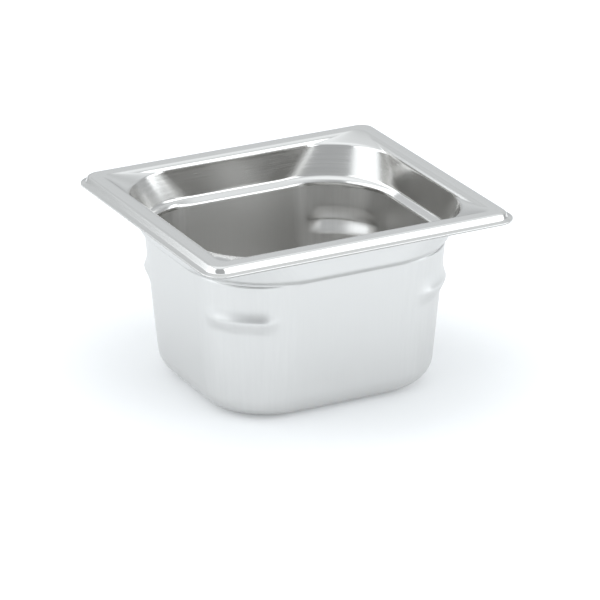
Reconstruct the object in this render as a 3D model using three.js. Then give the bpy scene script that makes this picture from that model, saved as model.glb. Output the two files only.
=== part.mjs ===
// A one-sixth gastronorm food pan, 100 mm deep, as hung in a deli counter or a steam table.
// The real pan is one blank of stainless sheet, drawn deep, trimmed and polished, so it is one solid here.
// Millimetres, +Z up, origin on the counter top under the middle of the pan, long side along X.
//
// The pan is described once, as the section of its inside face, from the rim's edge to the floor's middle.
// Each point of that section says how far it stands inside the rim's outline, its height, and how round
// the pan's corners are there. The outside face is the same section moved out by the sheet's thickness.
// Together they close into one profile, which a LatheGeometry turns, and every vertex is then moved from
// the lathe's circle onto the rounded rectangle of its level.

import * as THREE from "three";

// ---- Driving dimensions ----

// Gastronorm 1/6 outline and nominal depth.
const LENGTH = 176;
const WIDTH = 162;
const HEIGHT = 100;
const SHEET = 0.8;

// Rim: a thin lip at the edge, a riser, a level top and the radius into the pan.
const LIP_DROP = 3.8; // lip's top edge below the rim's level top
const LIP_EDGE = 0.5; // radius that rolls the lip's edge over
const LIP_WIDTH = 2.2;
const LIP_RISE = 0.5; // the lip falls this much towards its edge
const RISER_WIDTH = 2.0;
const RISER_FOOT = 0.4; // size of the bend at the riser's foot
const RISER_HEAD = 0.5; // and of the one at its head
const FLAT_START = 4.9;
const FLAT_END = 10;
const FLAT_MARGIN = 1; // the rim's underside is level this far inside both ends of the flat
const MOUTH_RADIUS = 3.4;

// Shoulder: a steep collar over a sloping ledge on which a nested pan rests.
const COLLAR_LEAN = 4; // degrees from upright, inwards on the way down
const COLLAR_FOOT = 18.3; // below the rim
const LEDGE_TILT = 38; // degrees below level
const LEDGE_HOLLOW = 2.2;
const LEDGE_NOSE = 3.6;
const BODY_INSET = 18; // inside face just under the ledge

// Body and floor.
const WALL_TAPER = 0.094; // inwards for each millimetre down
const FLOOR_RADIUS = 13.3;

// Corner radii seen from above. The corners of the rim are tight and the corners of the body are wide.
// The metal between them leans back in a sloping facet, over which the pan pours.
const LIP_CORNER = 11;
const FLAT_CORNER = 5;
const MOUTH_CORNER = 33; // at the foot of the mouth's radius
const LEDGE_CORNER = 48; // at the foot of the collar
const BODY_CORNER_TOP = 39;
const BODY_CORNER = 34; // at the foot of the wall
const FLOOR_CORNER = 26.5; // of the floor's flat part
const TIGHTEST_CORNER = 2; // no corner of the outside face is tighter

// Stacking lugs: an outward swelling in each corner that keeps nested pans from jamming.
const LUG_OUT = 2.6;
const LUG_CREST = 57.5; // height above the counter
const LUG_RISE = 9; // fades out this far above the crest
const LUG_FALL = 7.5; // and this far below it
const LUG_SPREAD = 34; // degrees to each side of the corner's diagonal
const LUG_FULL = 0.55; // share of that spread over which the lug keeps its full size

// Facets.
const CORNER_STEPS = 10;
const SIDE_STEPS = 2;
const EDGE_STEPS = 2;
const MOUTH_STEPS = 6;
const LEDGE_STEPS = 3;
const FLOOR_STEPS = 5;
const LUG_STEPS = 3;

const radians = THREE.MathUtils.degToRad;
const mix = THREE.MathUtils.lerp;
const DIAGONAL = 45;
const QUARTER_TURN = 90;

// ---- The section of the inside face ----

// One level of the pan: inset from the rim's outline, height, corner radius.
function level(inset, height, corner) {
  return { inset, height, corner };
}

// Levels along an arc about (inset, height). Angles are degrees from straight up, towards the pan's middle.
function arc(inset, height, radius, from, to, steps, cornerAt) {
  const levels = [];
  for (let i = 0; i <= steps; i++) {
    const turn = radians(mix(from, to, i / steps));
    const corner = cornerAt(i / steps);
    levels.push(level(inset + radius * Math.sin(turn), height + radius * Math.cos(turn), corner));
  }
  return levels;
}

// Rim, from the lip's edge over the riser to the level top.
function rimLevels() {
  const lipHeight = HEIGHT - LIP_DROP;
  const concentric = (inset, height) => level(inset, height, LIP_CORNER - inset);
  return [
    ...arc(LIP_EDGE, lipHeight - LIP_EDGE, LIP_EDGE, -QUARTER_TURN, 0, EDGE_STEPS, () => LIP_CORNER),
    concentric(LIP_WIDTH, lipHeight + LIP_RISE),
    concentric(LIP_WIDTH + RISER_FOOT, lipHeight + LIP_RISE + RISER_FOOT),
    concentric(LIP_WIDTH + RISER_WIDTH, HEIGHT - RISER_HEAD),
    concentric(FLAT_START, HEIGHT),
    level(FLAT_START + FLAT_MARGIN, HEIGHT, FLAT_CORNER),
    level(FLAT_END - FLAT_MARGIN, HEIGHT, FLAT_CORNER),
  ];
}

// The radius into the pan, over which the corners widen from the rim's to the mouth's.
function mouthLevels() {
  const widen = (share) => mix(MOUTH_CORNER, FLAT_CORNER, Math.cos(radians(QUARTER_TURN * share)));
  const turn = QUARTER_TURN - COLLAR_LEAN;
  return arc(FLAT_END, HEIGHT - MOUTH_RADIUS, MOUTH_RADIUS, 0, turn, MOUTH_STEPS, widen);
}

// Collar's foot and ledge, down to the top of the body.
function shoulderLevels(top, wallTurn) {
  const lean = radians(COLLAR_LEAN);
  const tilt = radians(LEDGE_TILT);
  const collarFoot = HEIGHT - COLLAR_FOOT;
  const hollow = arc(
    top.inset + (top.height - collarFoot) * Math.tan(lean) + LEDGE_HOLLOW * Math.cos(lean),
    collarFoot + LEDGE_HOLLOW * Math.sin(lean),
    LEDGE_HOLLOW,
    3 * QUARTER_TURN - COLLAR_LEAN,
    2 * QUARTER_TURN + LEDGE_TILT,
    LEDGE_STEPS,
    () => LEDGE_CORNER,
  );
  const foot = hollow.at(-1);
  const noseInset = BODY_INSET - LEDGE_NOSE;
  const slopeWidth = noseInset + LEDGE_NOSE * Math.sin(tilt) - foot.inset;
  const noseHeight = foot.height - slopeWidth * Math.tan(tilt) - LEDGE_NOSE * Math.cos(tilt);
  const narrow = (share) => mix(LEDGE_CORNER, BODY_CORNER_TOP, (1 + share) / 2);
  const nose = arc(noseInset, noseHeight, LEDGE_NOSE, LEDGE_TILT, wallTurn, LEDGE_STEPS, narrow);
  return [...hollow, ...nose];
}

// Body wall, with levels through the lug, and the bend into the floor.
function bodyLevels(top, wallTurn) {
  const inner = FLOOR_RADIUS - SHEET;
  const bendHeight = SHEET + inner;
  const wallAt = (height) => {
    const corner = mix(BODY_CORNER_TOP, BODY_CORNER, (top.height - height) / (top.height - bendHeight));
    return level(top.inset + (top.height - height) * WALL_TAPER, height, corner);
  };
  const heights = [];
  for (let i = 0; i < LUG_STEPS; i++) heights.push(LUG_CREST + LUG_RISE * (1 - i / LUG_STEPS));
  for (let i = 0; i <= LUG_STEPS; i++) heights.push(LUG_CREST - LUG_FALL * (i / LUG_STEPS));
  const bendInset = wallAt(bendHeight).inset + inner / Math.sin(radians(wallTurn));
  const tighten = (share) => mix(FLOOR_CORNER, BODY_CORNER, Math.cos(radians(QUARTER_TURN * share)));
  const bend = arc(
    bendInset,
    bendHeight,
    inner,
    2 * QUARTER_TURN + wallTurn,
    2 * QUARTER_TURN,
    FLOOR_STEPS,
    tighten,
  );
  return [...heights.map(wallAt), ...bend];
}

function insideLevels() {
  const wallTurn = QUARTER_TURN - THREE.MathUtils.radToDeg(Math.atan(WALL_TAPER));
  const mouth = mouthLevels();
  const shoulder = shoulderLevels(mouth.at(-1), wallTurn);
  return [...rimLevels(), ...mouth, ...shoulder, ...bodyLevels(shoulder.at(-1), wallTurn)];
}

// ---- From the inside face to the whole sheet ----

// The outside face: every level moved square to the section by the sheet's thickness.
function outsideLevels(inside) {
  return inside.map((here, i) => {
    const before = inside[Math.max(i - 1, 0)];
    const after = inside[Math.min(i + 1, inside.length - 1)];
    const along = new THREE.Vector2(after.inset - before.inset, after.height - before.height).normalize();
    const inset = here.inset + along.y * SHEET;
    const corner = Math.max(here.corner + here.inset - inset, TIGHTEST_CORNER);
    return level(inset, here.height - along.x * SHEET, corner);
  });
}

// Closed profile: out along the underside, up the outside, over the edge, down the inside, to the middle.
function sheetLevels() {
  const inside = insideLevels();
  const outside = outsideLevels(inside).slice(EDGE_STEPS);
  outside.at(-1).height = 0;
  const edge = level(0, inside[0].height - LIP_EDGE, LIP_CORNER);
  return [...outside.reverse(), edge, ...inside];
}

// ---- From the lathe's circle to the rounded rectangle ----

// The columns of vertices, quarter by quarter: first around a corner's arc, then along the side after it.
function columns() {
  const list = [];
  for (let quarter = 0; quarter < 4; quarter++) {
    for (let i = 0; i < CORNER_STEPS; i++) {
      list.push({ quarter, turn: QUARTER_TURN * (i / CORNER_STEPS), side: 0 });
    }
    for (let i = 0; i < SIDE_STEPS; i++) list.push({ quarter, turn: QUARTER_TURN, side: i / SIDE_STEPS });
  }
  return list;
}

// How far the lug pushes the sheet out, by height and by angle around the corner.
function lugAt(height, turn) {
  const above = height - LUG_CREST;
  const reach = above > 0 ? above / LUG_RISE : -above / LUG_FALL;
  const across = Math.abs(turn - DIAGONAL) / LUG_SPREAD;
  const fade = THREE.MathUtils.smoothstep(reach, 0, 1);
  return LUG_OUT * (1 - fade) * (1 - THREE.MathUtils.smoothstep(across, LUG_FULL, 1));
}

// The point of one level at one column.
function pointAt({ inset, height, corner }, { quarter, turn, side }) {
  const signX = quarter === 0 || quarter === 3 ? 1 : -1;
  const signY = quarter < 2 ? 1 : -1;
  const centreX = signX * (LENGTH / 2 - inset - corner);
  const centreY = signY * (WIDTH / 2 - inset - corner);
  const angle = radians(quarter * QUARTER_TURN + turn);
  const out = corner + lugAt(height, turn);
  const point = new THREE.Vector3(centreX + out * Math.cos(angle), centreY + out * Math.sin(angle), height);
  // Past the corner's arc the column walks along the straight side, to the mirrored end of the next arc.
  if (quarter % 2 === 0) point.x -= 2 * centreX * side;
  else point.y -= 2 * centreY * side;
  return point;
}

// A lathe of the closed profile, with each ring of vertices moved onto its level's rounded rectangle.
function panGeometry() {
  const levels = sheetLevels();
  const ring = columns();
  const profile = levels.map(({ inset, height }) => new THREE.Vector2(WIDTH / 2 - inset, height));
  profile.unshift(new THREE.Vector2(0, 0));
  profile.push(new THREE.Vector2(0, SHEET));
  const geometry = new THREE.LatheGeometry(profile, ring.length);
  const position = geometry.getAttribute("position");
  for (let i = 0; i <= ring.length; i++) {
    const first = i * profile.length;
    position.setXYZ(first, 0, 0, 0);
    levels.forEach((here, j) => position.setXYZ(first + j + 1, ...pointAt(here, ring[i % ring.length])));
    position.setXYZ(first + profile.length - 1, 0, 0, SHEET);
  }
  geometry.computeVertexNormals();
  return geometry;
}

// ---- The pan ----

const stainless = new THREE.MeshStandardMaterial({ color: 0xc9cdd0, roughness: 0.28, metalness: 1 });
const shell = new THREE.Mesh(panGeometry(), stainless);
shell.name = "pan_shell";

const pan = new THREE.Group();
pan.add(shell);
export default pan;
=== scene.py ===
# %% [markdown]
# # A one-sixth gastronorm food pan
# The pan is one blank of stainless sheet, drawn deep in a press, trimmed and polished. A caterer drops it into a
# counter, where it hangs by its rim. This notebook rebuilds it in Blender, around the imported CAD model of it.
# The CAD pan has the right sizes but few facets, and bright metal shows every facet. So a fine pan is made here
# from the same section, and it stands in for the CAD pan.

# %% Load the frame
import math

import bpy
import numpy as np
from mathutils import Matrix, Vector


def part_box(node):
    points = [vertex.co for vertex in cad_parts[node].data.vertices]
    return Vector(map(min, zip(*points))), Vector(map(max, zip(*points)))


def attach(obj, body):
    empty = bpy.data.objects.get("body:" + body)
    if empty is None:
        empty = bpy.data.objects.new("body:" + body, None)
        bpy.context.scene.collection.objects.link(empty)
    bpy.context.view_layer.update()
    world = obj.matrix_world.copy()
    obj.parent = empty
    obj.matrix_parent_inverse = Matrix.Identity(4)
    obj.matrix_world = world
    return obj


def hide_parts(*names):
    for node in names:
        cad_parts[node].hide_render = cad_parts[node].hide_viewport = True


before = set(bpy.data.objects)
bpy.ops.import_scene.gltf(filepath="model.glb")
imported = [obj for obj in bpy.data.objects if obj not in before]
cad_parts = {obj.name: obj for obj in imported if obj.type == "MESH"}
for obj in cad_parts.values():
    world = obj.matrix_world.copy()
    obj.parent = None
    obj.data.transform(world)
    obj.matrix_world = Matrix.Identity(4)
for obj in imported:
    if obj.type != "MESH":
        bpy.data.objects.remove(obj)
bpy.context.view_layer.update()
pan_low, pan_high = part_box("pan_shell")
print("nodes", sorted(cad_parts), "box", tuple(pan_low), tuple(pan_high))

# %% [markdown]
# ## Sizes
# The CAD box gives the outline and the depth. The other sizes are those of the drawn sheet: the lip around the
# rim, the bead beside it, the level top, the mouth's radius, the ledge on which a nested pan rests, and the floor
# bend. They are written in millimetres, as a toolmaker would, and turned to metres once, when the mesh is made.
# A pair is an inset from the outline and a height.

# %% Sizes of the drawn sheet
MM = 0.001
LENGTH = (pan_high.x - pan_low.x) / MM
WIDTH = (pan_high.y - pan_low.y) / MM
HEIGHT = (pan_high.z - pan_low.z) / MM
SHEET = 0.8
LIP_TOP = HEIGHT - 3.8
LIP_EDGE = 0.3
RIM_CORNER = 11
MOUTH_RADIUS = 3.4
COLLAR = 13.5
LEDGE_FOOT = (14.6, HEIGHT - 19.8)
BODY_TOP = (18.0, HEIGHT - 22.7)
WALL_TAPER = 0.094
FLOOR_RADIUS = 13.3 - SHEET
FLOOR_RUN = 30
wall_foot = BODY_TOP[0] + (BODY_TOP[1] - SHEET) * WALL_TAPER
print(f"outline {LENGTH:.1f} x {WIDTH:.1f} mm, {HEIGHT:.1f} mm deep")

# %% [markdown]
# ## The section
# A press tool is drawn as straight lines with a radius at each bend, and the section here is written the same way.
# A knot says how far the sheet's inside face stands in from the outline, its height, the bend's radius, and how
# round the pan's corners are where the bend starts and ends. The rim's corners are tight and the body's are wide,
# so the metal between them leans back in a facet, over which the pan pours.
# A bevelled curve could draw this section too, but it couldn't change the corners on the way down.

# %% Knots of the inside face: inset, height, bend, corner before it, corner after it
KNOTS = [
    (0, LIP_TOP - SHEET, 0, RIM_CORNER, RIM_CORNER),
    (0, LIP_TOP, LIP_EDGE, RIM_CORNER, RIM_CORNER),
    (2.5, LIP_TOP + 0.5, 0.5, 8.5, 8.5),
    (4.3, HEIGHT, 1.7, 6.5, 6.5),
    (COLLAR, HEIGHT, MOUTH_RADIUS, 5, 33),
    (*LEDGE_FOOT, 2.2, 46.5, 48.5),
    (*BODY_TOP, 2.4, 44, 40),
    (wall_foot, SHEET, FLOOR_RADIUS, 34, 26.5),
    (wall_foot + FLOOR_RUN, SHEET, 0, 8, 8),
]
print(len(KNOTS), "knots")

# %% [markdown]
# ## Rounding the bends
# An arc touches both straight lines of its bend at the radius times the tangent of half the turn, so each bend is
# drawn directly, with no search. The straights are cut into short even steps. A level is one such step: an inset,
# a height and a corner radius. Blender's bevel would round the bends too, but it would lose the corner radii.

# %% Round the bends and step along the section
STEP = 0.8
BEND_STEP = math.radians(7)
FEWEST_BEND_STEPS = 3


def straight(start, end):
    """Levels after start, up to end, about a step apart."""
    start, end = np.array(start, float), np.array(end, float)
    steps = max(1, round(np.linalg.norm((end - start)[:2]) / STEP))
    return [tuple(start + (end - start) * i / steps) for i in range(1, steps + 1)]


def round_knots(knots):
    """Levels (inset, height, corner) along the knots, with each bend as an arc."""
    levels = [(knots[0][0], knots[0][1], knots[0][3])]
    for before, here, after in zip(knots, knots[1:], knots[2:]):
        at, bend = np.array(here[:2], float), here[2]
        into, out = at - before[:2], after[:2] - at
        into, out = into / np.linalg.norm(into), out / np.linalg.norm(out)
        turn = math.atan2(into[0] * out[1] - into[1] * out[0], into @ out)
        reach = bend * math.tan(abs(turn) / 2)
        start, end = at - into * reach, at + out * reach
        centre = start + np.array([-into[1], into[0]]) * np.sign(turn) * bend
        levels += straight(levels[-1], (*start, here[3]))
        steps = max(FEWEST_BEND_STEPS, round(abs(turn) / BEND_STEP))
        for angle in np.linspace(0, turn, steps + 1)[1:]:
            c, s = math.cos(angle), math.sin(angle)
            x, y = start - centre
            place = centre + (c * x - s * y, s * x + c * y)
            moved, whole = place - start, end - start
            share = moved[1] / whole[1] if here[4] > here[3] else moved[0] / whole[0]
            levels.append((*place, here[3] + (here[4] - here[3]) * share))
    levels += straight(levels[-1], (*knots[-1][:2], knots[-1][3]))
    return np.array(levels)


inside = round_knots(KNOTS)
print(len(inside), "levels, wall foot inset", round(wall_foot, 2))

# %% [markdown]
# ## The outside face
# Drawn sheet keeps its thickness, so the outside is the inside moved out by the sheet, square to the section.
# Blender's Solidify modifier does the same, but it would also thicken the cut edge of the lip, which is plain.

# %% Move the section out by the sheet
TIGHTEST_CORNER = 2
lip_flat = int(np.argmax(inside[:, 0] > LIP_EDGE + SHEET / 2))
run = np.gradient(inside[:, :2], axis=0)
run /= np.linalg.norm(run, axis=1)[:, None]
outside = inside.copy()
outside[:, 0] += run[:, 1] * SHEET
outside[:, 1] -= run[:, 0] * SHEET
outside[:, 2] = np.maximum(outside[:, 2] + inside[:, 0] - outside[:, 0], TIGHTEST_CORNER)
outside = outside[lip_flat:][::-1]
outside[outside[:, 1] < SHEET / 4, 1] = 0
print(len(outside), "levels outside, from the floor up to the lip")

# %% [markdown]
# ## The lip's cut edge
# The lip is trimmed in the press and then buffed, so that it doesn't cut a hand. A quarter of a small circle joins
# the outside face to the inside face there and takes the burr off.

# %% Round the lip's cut edge and join the two faces
EDGE_RADIUS = 0.5
EDGE_RISE = 0.2
edge_height = LIP_TOP - SHEET + EDGE_RISE
edge = [
    (EDGE_RADIUS * (1 - math.sin(a)), edge_height - EDGE_RADIUS * math.cos(a), RIM_CORNER)
    for a in np.radians(range(0, 90, 25))
]
levels = np.vstack([outside, edge, inside])
first_inside = len(outside)
print(len(levels), "levels in all, lowest", levels[:, 1].min(), "highest", levels[:, 1].max())

# %% [markdown]
# ## Around the corners
# Every level is a rounded rectangle. A column of the mesh keeps its place in the corner's arc or along the side on
# every level, so the quads run straight down the pan and fan out over the facets, as the sheet itself flowed.

# %% Columns of the mesh
CORNER_COLUMNS = 52
SIDE_COLUMNS = 16
columns = [(quarter, 90 * i / CORNER_COLUMNS, 0) for quarter in range(4) for i in range(CORNER_COLUMNS)]
columns += [(quarter, 90, i / SIDE_COLUMNS) for quarter in range(4) for i in range(SIDE_COLUMNS)]
columns.sort()
quarter, turn, side = np.array(columns).T
print(len(columns), "columns")

# %% [markdown]
# ## Stacking lugs
# In each corner the wall swells out over a fold, so that nested pans don't jam. The press pushes the swelling out
# from above, gently, and the sheet springs back to the wall in a short step under the fold.
# A sculpted dent would do, but a formula gives four equal lugs and moves both faces of the sheet together.

# %% Stacking lugs
LUG_OUT = 2.4
LUG_CREST = 57.5
LUG_RISE = 9
LUG_FALL = 8.5
LUG_SPREAD = 34
CORNER_MIDDLE = 45


def fade(value):
    """1 at nought, 0 from one on, smooth between them."""
    value = np.clip(value, 0, 1)
    return 1 - value * value * (3 - 2 * value)


def lug_at(height, turn):
    """How far the sheet is pushed out: fully over half the spread, and less towards its ends."""
    above = height - LUG_CREST
    rise = np.clip(1 - above / LUG_RISE, 0, 1) ** 2
    fall = fade(-above / LUG_FALL)
    across = np.abs(turn - CORNER_MIDDLE) / LUG_SPREAD
    return LUG_OUT * np.where(above > 0, rise, fall) * fade((across - 0.5) * 2)


print("a lug stands out", lug_at(np.array(LUG_CREST), np.array(CORNER_MIDDLE)), "mm at", LUG_CREST, "mm")

# %% [markdown]
# ## The pan
# The levels and the columns make one grid of quads, closed with a face under the floor and one on top of it.
# The grid also carries a map in real metres, along the sheet and down it, which the grain of the metal follows.
# The map's width is measured once, on the rim's level top, so the grain lines up from the rim to the floor.

# %% Mesh of the pan
MAP_LEVEL = first_inside + 40


def pan_points(levels):
    """One row of points for each level, in metres."""
    inset, height, corner = (levels[:, i, None] for i in range(3))
    sign_x = np.where((quarter == 0) | (quarter == 3), 1, -1)
    sign_y = np.where(quarter < 2, 1, -1)
    centre_x = sign_x * (LENGTH / 2 - inset - corner)
    centre_y = sign_y * (WIDTH / 2 - inset - corner)
    angle = np.radians(quarter * 90 + turn)
    out = corner + lug_at(height, turn)
    along_x = quarter % 2 == 0
    x = centre_x + out * np.cos(angle) - np.where(along_x, 2 * centre_x * side, 0)
    y = centre_y + out * np.sin(angle) - np.where(along_x, 0, 2 * centre_y * side)
    return np.stack([x, y, np.broadcast_to(height, x.shape)], axis=-1) * MM


def pan_mesh(name):
    """The whole sheet as one closed mesh, with a map in metres."""
    points = pan_points(levels)
    rows, wide = points.shape[:2]
    below = np.arange(wide)
    after = (below + 1) % wide
    quads = [
        np.stack([r * wide + below, r * wide + after, (r + 1) * wide + after, (r + 1) * wide + below], axis=1)
        for r in range(rows - 1)
    ]
    faces = np.vstack(quads).tolist()
    faces.append(below[::-1].tolist())
    faces.append(((rows - 1) * wide + below).tolist())
    mesh = bpy.data.meshes.new(name)
    mesh.from_pydata(points.reshape(-1, 3).tolist(), [], faces)
    around = np.linalg.norm(np.roll(points, -1, axis=1) - points, axis=2)[MAP_LEVEL]
    across = np.concatenate([[0], np.cumsum(around)])
    down = np.concatenate([[0], np.cumsum(np.linalg.norm(np.diff(points[:, 0], axis=0), axis=1))])
    grid = np.zeros((len(mesh.loops), 2))
    right = below + 1
    for r in range(rows - 1):
        u = np.stack([across[below], across[right], across[right], across[below]], axis=1)
        v = np.broadcast_to([down[r], down[r], down[r + 1], down[r + 1]], u.shape)
        grid[r * wide * 4:(r + 1) * wide * 4] = np.stack([u, v], axis=-1).reshape(-1, 2)
    mesh.uv_layers.new(name="sheet_map").data.foreach_set("uv", grid.ravel())
    mesh.shade_smooth()
    return mesh


pan = bpy.data.objects.new("food_pan", pan_mesh("food_pan"))
bpy.context.scene.collection.objects.link(pan)
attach(pan, "root")
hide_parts("pan_shell")
print("pan", len(pan.data.polygons), "faces")

# %% [markdown]
# ## Helpers for the finishes
# A colour is written as it is picked from a paint chart, in sRGB hex, and turned to the linear values that light
# adds up in. One small function adds a shader node with its settings and its links. Some sockets share a name, so
# an input may also be given by its number, as _6 is for the seventh socket.

# %% Colour and node helpers
def linear(hex_colour):
    """sRGB hex to linear RGBA."""
    parts = [int(hex_colour[i:i + 2], 16) / 255 for i in (1, 3, 5)]
    return (*[p / 12.92 if p <= 0.04045 else ((p + 0.055) / 1.055) ** 2.4 for p in parts], 1)


def add_node(tree, kind, settings=None, **inputs):
    """Adds a node. An input is a value, or another node's output to link."""
    node = tree.nodes.new(kind)
    for key, value in (settings or {}).items():
        setattr(node, key, value)
    for key, value in inputs.items():
        socket = node.inputs[int(key[1:])] if key[1:].isdigit() else node.inputs[key.replace("_", " ")]
        if isinstance(value, bpy.types.NodeSocket):
            tree.links.new(value, socket)
        else:
            socket.default_value = value
    return node


def new_material(name):
    """An empty node material."""
    material = bpy.data.materials.new(name)
    material.use_nodes = True
    material.node_tree.nodes.clear()
    return material, material.node_tree


print("mid grey is", round(linear("#808080")[0], 3))

# %% [markdown]
# ## Stainless steel
# 18/8 stainless is a neutral, slightly warm grey metal that gives back about seven tenths of the light. Its finishes
# differ in how rough they are and in which way their grain runs, so one function makes them all.
# Stretched noise is the grain: it is long one way and fine the other. It moves the roughness a little, tips the
# surface a little and darkens the steel a little, as scratches do. Real grain is finer than 0.1 mm, too fine to
# show here, so it is drawn 0.3 to 1.1 mm wide, as coarse as it needs to show.

# %% Stainless steel with a grain
STEEL = "#DFDEDC"
GRAIN_LENGTH = 30 * MM


def stainless(name, roughness, spread, runs_along, width, depth, deep, bright=STEEL):
    """Stainless steel with grain that runs along the rim or up and down."""
    material, tree = new_material(name)
    place = add_node(tree, "ShaderNodeUVMap", {"uv_map": "sheet_map"})
    fine, coarse = 1 / width, 1 / GRAIN_LENGTH
    scale = (coarse, fine, 1) if runs_along else (fine, coarse, 1)
    stretched = add_node(tree, "ShaderNodeMapping", Vector=place.outputs[0], Scale=scale)
    grain = add_node(tree, "ShaderNodeTexNoise", Vector=stretched.outputs[0], Scale=1, Detail=3, Roughness=0.6)
    rough = add_node(tree, "ShaderNodeMapRange", Value=grain.outputs[0], To_Min=roughness - spread,
                     To_Max=roughness + spread)
    bump = add_node(tree, "ShaderNodeBump", Height=grain.outputs[0], Strength=1, Distance=depth)
    shade = add_node(tree, "ShaderNodeMix", {"data_type": "RGBA"}, Factor=grain.outputs[0],
                     _6=linear(deep), _7=linear(bright))
    metal = add_node(tree, "ShaderNodeBsdfPrincipled", Base_Color=shade.outputs[2], Metallic=1,
                     Roughness=rough.outputs[0], Normal=bump.outputs[0])
    add_node(tree, "ShaderNodeOutputMaterial", Surface=metal.outputs[0])
    return material


print("steel gives back", round(linear(STEEL)[1], 2), "of the light")

# %% [markdown]
# ## The four finishes
# The press shop works the same steel in four ways. The body's outside is brushed up and down. The rim and the
# ledge, which are handled and seen most, are polished on a wheel. The mouth and the collar are linished, which is
# grinding with a worn belt that runs around them. The inside keeps the satin that the mill's rolls gave the sheet.

# %% Finishes of the pan
# Brushed: matt, with faint upright lines, and a shade darker, because the scratches shade each other.
BRUSHED_STEEL = "#DADAD9"
brushed = stainless("brushed_stainless", 0.4, 0.03, False, 0.4 * MM, 0.0015 * MM, "#D2D2D1", BRUSHED_STEEL)
# Polished: bright, with clear edges to the lights in it.
polished = stainless("polished_stainless", 0.15, 0.03, True, 0.3 * MM, 0.0006 * MM, "#D4D3D1")
# Linished: broad soft lights, with darker lines drawn along them.
linished = stainless("linished_stainless", 0.22, 0.12, True, 1.1 * MM, 0.02 * MM, "#CCCBC9")
# Satin: an even grey in which lights are soft.
satin = stainless("satin_stainless", 0.31, 0.03, False, 0.3 * MM, 0.001 * MM, "#CFCECC")
finishes = [brushed, polished, linished, satin]
for finish in finishes:
    pan.data.materials.append(finish)
print("finishes", [f.name for f in finishes])

# %% [markdown]
# ## Where each finish goes
# A finish belongs to whole rows of the mesh, because the tools run around the pan. So the height of a row on the
# inside face picks its finish, and the whole outside face is brushed.

# %% Finish of each row
OUTSIDE, RIM, MOUTH, INSIDE = range(4)
RIM_END = HEIGHT - 4.9
COLLAR_END = LEDGE_FOOT[1] + 2
LEDGE_END = BODY_TOP[1] - 1
row_height = (levels[1:, 1] + levels[:-1, 1]) / 2
zones = [row_height > RIM_END, row_height > COLLAR_END, row_height > LEDGE_END]
row_finish = np.select(zones, [RIM, MOUTH, RIM], INSIDE)
row_finish[:first_inside] = OUTSIDE
pan.data.polygons.foreach_set("material_index", [*np.repeat(row_finish, len(columns)), OUTSIDE, INSIDE])
print("rows of each finish", np.bincount(row_finish).tolist())

# %% [markdown]
# ## The floor
# Bright metal shows what stands around it, so the studio matters as much as the steel. The pan stands on white
# acrylic that glows evenly, which keeps the surroundings of the pan white. Near the pan the glow is turned down,
# which is a painted shadow around it. The plate lies a hair under the pan, because two faces in one plane would
# flicker.

# %% Floor
DAYLIGHT = linear("#F7FBFE")
ACRYLIC = "#EAEAEA"
FLOOR_GLOW = 0.28
# Painted shadow: the dim glow next to the pan, and the distances from its middle over which the glow comes back.
PAINTED_SHADOW_GLOW = 0.15
PAINTED_SHADOW_START, PAINTED_SHADOW_END = 0.165, 0.08
FLOOR_SIZE = 12
FLOOR_GAP = 0.1 * MM


def floor_material():
    """Cast white acrylic, sanded matt, with an even glow that is turned down near the pan as a painted shadow."""
    material, tree = new_material("white_acrylic")
    place = add_node(tree, "ShaderNodeTexCoord")
    reach = add_node(tree, "ShaderNodeVectorMath", {"operation": "LENGTH"}, _0=place.outputs["Object"])
    # Painted shadow: the glow fades from its full strength far off to a dim glow near the pan.
    glow = add_node(tree, "ShaderNodeMapRange", {"interpolation_type": "SMOOTHSTEP"}, Value=reach.outputs["Value"],
                    From_Min=PAINTED_SHADOW_END, From_Max=PAINTED_SHADOW_START, To_Min=PAINTED_SHADOW_GLOW, To_Max=FLOOR_GLOW)
    plate = add_node(tree, "ShaderNodeBsdfPrincipled", Base_Color=linear(ACRYLIC), Roughness=0.9,
                     Emission_Color=DAYLIGHT, Emission_Strength=glow.outputs["Result"])
    add_node(tree, "ShaderNodeOutputMaterial", Surface=plate.outputs[0])
    return material


half = FLOOR_SIZE / 2
floor_mesh = bpy.data.meshes.new("floor")
floor_mesh.from_pydata([(-half, -half, 0), (half, -half, 0), (half, half, 0), (-half, half, 0)], [], [(0, 1, 2, 3)])
floor_mesh.materials.append(floor_material())
floor = bpy.data.objects.new("floor", floor_mesh)
floor.location.z = pan_low.z - FLOOR_GAP
bpy.context.scene.collection.objects.link(floor)
print("floor", FLOOR_SIZE, "m")

# %% [markdown]
# ## The room
# The world's dome holds the room. It is bright overhead and behind the pan, and darker in front of it, which gives
# the collar and the inside their greys. Each half has a ramp of greys, by the sine of the elevation: the horizon is
# at 0 and straight up is at 1. All that lies below the horizon has the first grey, but the floor hides it.

# %% Room
FRONT_GREYS = [(0, 0.39), (0.6, 0.42), (0.77, 0.64), (0.87, 0.8), (1, 0.95)]
BACK_GREYS = [(0, 0.44), (0.17, 0.46), (0.38, 0.64), (0.5, 0.55), (0.64, 0.66), (0.87, 0.9), (1, 1)]
HALVES_MEET = 0.3
ROOM_LIGHT = 1.38


def set_ramp(node, stops):
    """Grey stops of a colour ramp."""
    ramp = node.color_ramp
    while len(ramp.elements) < len(stops):
        ramp.elements.new(1)
    for element, (place, grey) in zip(ramp.elements, stops):
        element.position = place
        element.color = [grey * part for part in DAYLIGHT]


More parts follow.
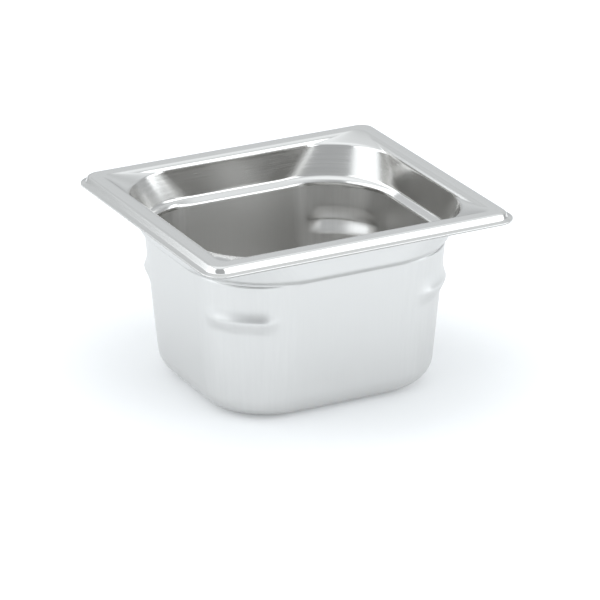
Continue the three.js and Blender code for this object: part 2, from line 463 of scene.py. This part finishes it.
def paint_room(world):
    """Greys of the studio by direction: bright behind the pan, darker in front of it."""
    world.use_nodes = True
    tree = world.node_tree
    tree.nodes.clear()
    look = add_node(tree, "ShaderNodeTexCoord")
    part = add_node(tree, "ShaderNodeSeparateXYZ", Vector=look.outputs["Generated"])
    front = add_node(tree, "ShaderNodeValToRGB", Fac=part.outputs["Z"])
    back = add_node(tree, "ShaderNodeValToRGB", Fac=part.outputs["Z"])
    set_ramp(front, FRONT_GREYS)
    set_ramp(back, BACK_GREYS)
    side = add_node(tree, "ShaderNodeMapRange", {"interpolation_type": "SMOOTHSTEP"}, Value=part.outputs["Y"],
                    From_Min=-HALVES_MEET, From_Max=HALVES_MEET)
    room = add_node(tree, "ShaderNodeMix", {"data_type": "RGBA"}, Factor=side.outputs[0],
                    _6=front.outputs[0], _7=back.outputs[0])
    light = add_node(tree, "ShaderNodeBackground", Color=room.outputs[2], Strength=ROOM_LIGHT)
    add_node(tree, "ShaderNodeOutputWorld", Surface=light.outputs[0])


world = bpy.data.worlds.new("studio")
bpy.context.scene.world = world
paint_room(world)
print("room has", len(FRONT_GREYS), "greys in front and", len(BACK_GREYS), "behind")

# %% [markdown]
# ## Soft boxes
# Two big soft boxes light the pan, one at the right front and one at the left, a little behind. Their edges make
# the sharp ends of the white bands on the facets. A light is placed by its azimuth from the front, its elevation
# and its distance, as on a studio plan, and faces the pan. A point light would leave small hard glints instead.

# %% Soft boxes
LIGHT_DISTANCE = 2.6
middle = (pan_low + pan_high) / 2


def aim(thing, target, roll=0):
    """Points a light or camera at a place, level unless it is rolled."""
    back = (thing.location - target).normalized()
    right = Vector((0, 0, 1)).cross(back).normalized()
    up = back.cross(right)
    turned = Matrix((right, up, back)).transposed()
    thing.rotation_euler = (turned @ Matrix.Rotation(roll, 3, "Z")).to_euler()


def around(target, azimuth, elevation, distance):
    """A place seen from the target at an azimuth from the front and an elevation."""
    a, e = math.radians(azimuth), math.radians(elevation)
    return target + distance * Vector((math.sin(a) * math.cos(e), -math.cos(a) * math.cos(e), math.sin(e)))


def soft_box(name, azimuth, elevation, width, height, radiance):
    """A rectangle of even light that faces the pan."""
    light = bpy.data.lights.new(name, "AREA")
    light.shape, light.size, light.size_y = "RECTANGLE", width, height
    light.energy = radiance * math.pi * width * height
    light.color = DAYLIGHT[:3]
    box = bpy.data.objects.new(name, light)
    box.location = around(middle, azimuth, elevation, LIGHT_DISTANCE)
    bpy.context.scene.collection.objects.link(box)
    aim(box, middle)
    print(name, round(light.energy), "W at", tuple(round(v, 2) for v in box.location))


soft_box("right_soft_box", 38, 24, 3.0, 2.0, 1.7)
soft_box("left_soft_box", -109, 28, 4.0, 2.1, 1.18)

# %% [markdown]
# ## Camera
# A long lens from two metres keeps the rim's far side almost as long as its near side, as catalogue ware is shown.
# It looks down by about 22 degrees, which shows the ledge inside as well as the body outside.

# %% Camera
SENSOR, LENS = 36, 251.63
CAMERA_AZIMUTH, CAMERA_ELEVATION, CAMERA_DISTANCE = -27.29, 21.79, 2.1823
AIM_OFFSET = Vector((0.0009, -0.0043, -0.0085))
CAMERA_ROLL = math.radians(-0.2)
camera = bpy.data.objects.new("camera", bpy.data.cameras.new("camera"))
bpy.context.scene.collection.objects.link(camera)
camera.data.sensor_width = SENSOR
camera.data.lens = LENS
camera.location = around(middle, CAMERA_AZIMUTH, CAMERA_ELEVATION, CAMERA_DISTANCE)
aim(camera, middle + AIM_OFFSET, CAMERA_ROLL)
bpy.context.scene.camera = camera
bpy.context.scene.view_settings.view_transform = "Standard"
print("camera at", tuple(round(v, 3) for v in camera.location))
